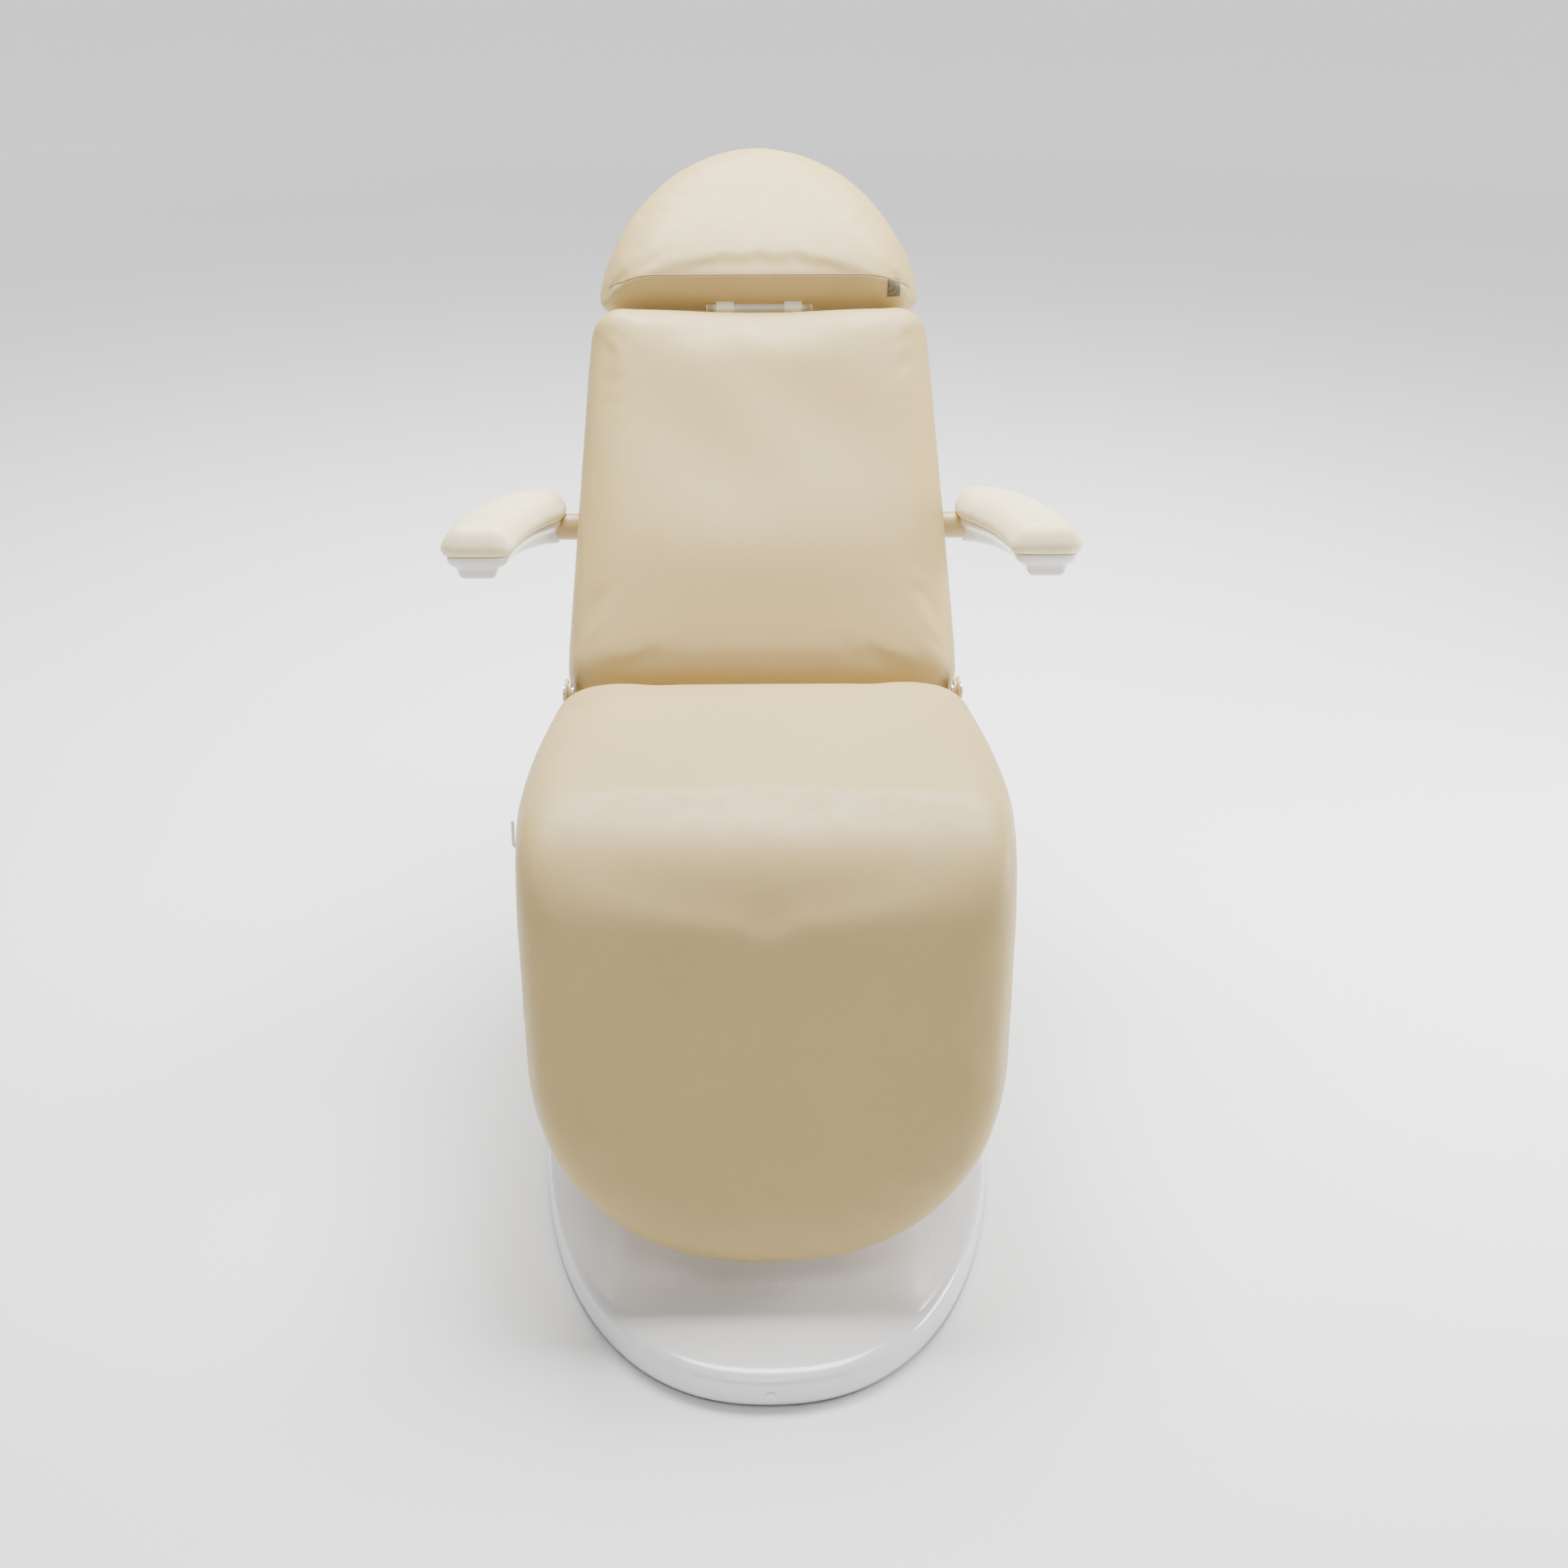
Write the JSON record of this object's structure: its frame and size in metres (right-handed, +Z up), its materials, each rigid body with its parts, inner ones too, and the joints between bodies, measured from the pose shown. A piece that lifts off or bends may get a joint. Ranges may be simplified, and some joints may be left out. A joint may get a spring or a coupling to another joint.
{
  "type": "electric treatment chair",
  "caption": "Reclining treatment chair with upholstered seat, leg section, backrest and headrest, swing-up armrests and a telescopic lift column on an oval base.",
  "frame": {"origin": "on the floor, at the bottom centre of the chair's bounding box", "axes": "+Z up, foot end towards -Y, head end towards +Y, +X to the right of a viewer who faces the foot end"},
  "size_m": [0.86, 1.6386, 1.1146],
  "materials": {
    "hood_white": "white gloss moulded ABS",
    "vinyl_seat": "smooth beige vinyl upholstery over foam, soft sheen",
    "vinyl_armrest": "smooth cream vinyl over moulded foam",
    "beige_shell": "beige moulded shell and powder coat",
    "cream_metal": "cream powder coat",
    "painted_steel": "grey powder-coated steel",
    "bright_steel": "ground steel",
    "column_alloy": "anodised extrusion",
    "black_plastic": "black moulded plastic",
    "wheel_rubber": "solid rubber tread",
    "rocker_red": "red gloss rocker",
    "plywood": "birch plywood",
    "white_wire": "white coated wire",
    "tag_cloth": "olive woven tag, blank"
  },
  "bodies": {
    "base": {"base_frame": "painted_steel", "base_hood": "hood_white", "levelling_feet": "black_plastic", "hood_screw_caps": "hood_white", "wheel_axles": "bright_steel", "power_inlet": "black_plastic", "control_box": "black_plastic", "column_outer": "column_alloy", "cover_lower": "hood_white", "lift_tube": "black_plastic"},
    "wheel_left": {"transport_wheel_left": "wheel_rubber"},
    "wheel_right": {"transport_wheel_right": "wheel_rubber"},
    "rocker": {"power_switch": "rocker_red"},
    "column_stage": {"column_middle": "column_alloy", "cover_middle": "hood_white", "lift_stage": "column_alloy"},
    "seat": {"column_inner": "column_alloy", "cover_upper": "hood_white", "lift_rod": "bright_steel", "carriage": "painted_steel", "seat_frame": "beige_shell", "seat_board": "plywood", "seat_cushion": "vinyl_seat", "knee_bolster": "vinyl_seat", "knee_shaft": "bright_steel", "back_hinge_pins": "bright_steel", "back_actuator": "black_plastic", "back_motor": "black_plastic", "leg_actuator": "black_plastic", "leg_motor": "black_plastic", "actuator_pins": "bright_steel", "handset_hook": "white_wire"},
    "back_rod": {"back_rod": "bright_steel"},
    "leg_rod": {"leg_rod": "bright_steel"},
    "backrest": {"backrest_frame": "beige_shell", "backrest_board": "plywood", "backrest_shell": "beige_shell", "backrest_cushion": "vinyl_seat", "back_lever_pin": "bright_steel", "armrest_sleeves": "painted_steel"},
    "legrest": {"leg_frame": "beige_shell", "leg_board": "plywood", "leg_cushion": "vinyl_seat", "leg_lever_pin": "bright_steel"},
    "head_arm": {"headrest_arm": "cream_metal"},
    "headrest": {"headrest_cushion": "vinyl_seat", "headrest_board": "plywood", "headrest_sleeves": "painted_steel", "headrest_tag": "tag_cloth"},
    "clamp_knob": {"headrest_clamp_knob": "black_plastic"},
    "armrest_left": {"armrest_tube_left": "beige_shell", "armrest_shell_left": "hood_white", "armrest_pad_left": "vinyl_armrest"},
    "armrest_right": {"armrest_tube_right": "beige_shell", "armrest_shell_right": "hood_white", "armrest_pad_right": "vinyl_armrest"}
  },
  "joints": [
    {"name": "lift", "type": "slide", "parent": "base", "child": "seat", "axis": [0, 0, 1], "range_m": [0, 0.3]},
    {"name": "column_stage_slide", "type": "slide", "parent": "base", "child": "column_stage", "axis": [0, 0, 1], "range_m": [0, 0.15]},
    {"name": "backrest_recline", "type": "hinge", "parent": "seat", "child": "backrest", "pos_m": [0, 0.08, 0.512], "axis": [1, 0, 0], "range_deg": [-45, 27]},
    {"name": "back_rod_slide", "type": "slide", "parent": "seat", "child": "back_rod", "axis": [0, 0.9986, -0.0523], "range_m": [-0.095, 0.06]},
    {"name": "leg_raise", "type": "hinge", "parent": "seat", "child": "legrest", "pos_m": [0, -0.42256, 0.47625], "axis": [-1, 0, 0], "range_deg": [0, 68]},
    {"name": "leg_rod_slide", "type": "slide", "parent": "seat", "child": "leg_rod", "axis": [0, -0.9986, 0.0523], "range_m": [0, 0.13]},
    {"name": "headrest_tilt", "type": "hinge", "parent": "backrest", "child": "head_arm", "pos_m": [0, 0.53962, 0.93202], "axis": [1, 0, 0], "range_deg": [-20, 30]},
    {"name": "headrest_slide", "type": "slide", "parent": "head_arm", "child": "headrest", "axis": [0, 0.8829, 0.4695], "range_m": [0, 0.08]},
    {"name": "clamp_knob_turn", "type": "hinge", "parent": "headrest", "child": "clamp_knob", "pos_m": [0.05, 0.62462, 0.93191], "axis": [0, -0.4695, 0.8829], "range_deg": [0, 180]},
    {"name": "armrest_left_swing", "type": "hinge", "parent": "backrest", "child": "armrest_left", "pos_m": [-0.25, 0.33809, 0.66403], "axis": [-1, 0, 0], "range_deg": [-30, 95]},
    {"name": "armrest_right_swing", "type": "hinge", "parent": "backrest", "child": "armrest_right", "pos_m": [0.25, 0.33809, 0.66403], "axis": [-1, 0, 0], "range_deg": [-30, 95]},
    {"name": "wheel_left_spin", "type": "hinge", "parent": "base", "child": "wheel_left", "pos_m": [-0.146, 0.3, 0.02], "axis": [1, 0, 0], "continuous": true},
    {"name": "wheel_right_spin", "type": "hinge", "parent": "base", "child": "wheel_right", "pos_m": [0.146, 0.3, 0.02], "axis": [1, 0, 0], "continuous": true},
    {"name": "power_rocker", "type": "hinge", "parent": "base", "child": "rocker", "pos_m": [0.074, 0.45183, 0.026], "axis": [1, 0, 0], "range_deg": [0, 12]}
  ],
  "couplings": [
    {"joint": "column_stage_slide", "follows": "lift", "ratio": 0.5},
    {"joint": "back_rod_slide", "follows": "backrest_recline", "m_per_rad": 0.114},
    {"joint": "leg_rod_slide", "follows": "leg_raise", "m_per_rad": 0.10367}
  ]
}
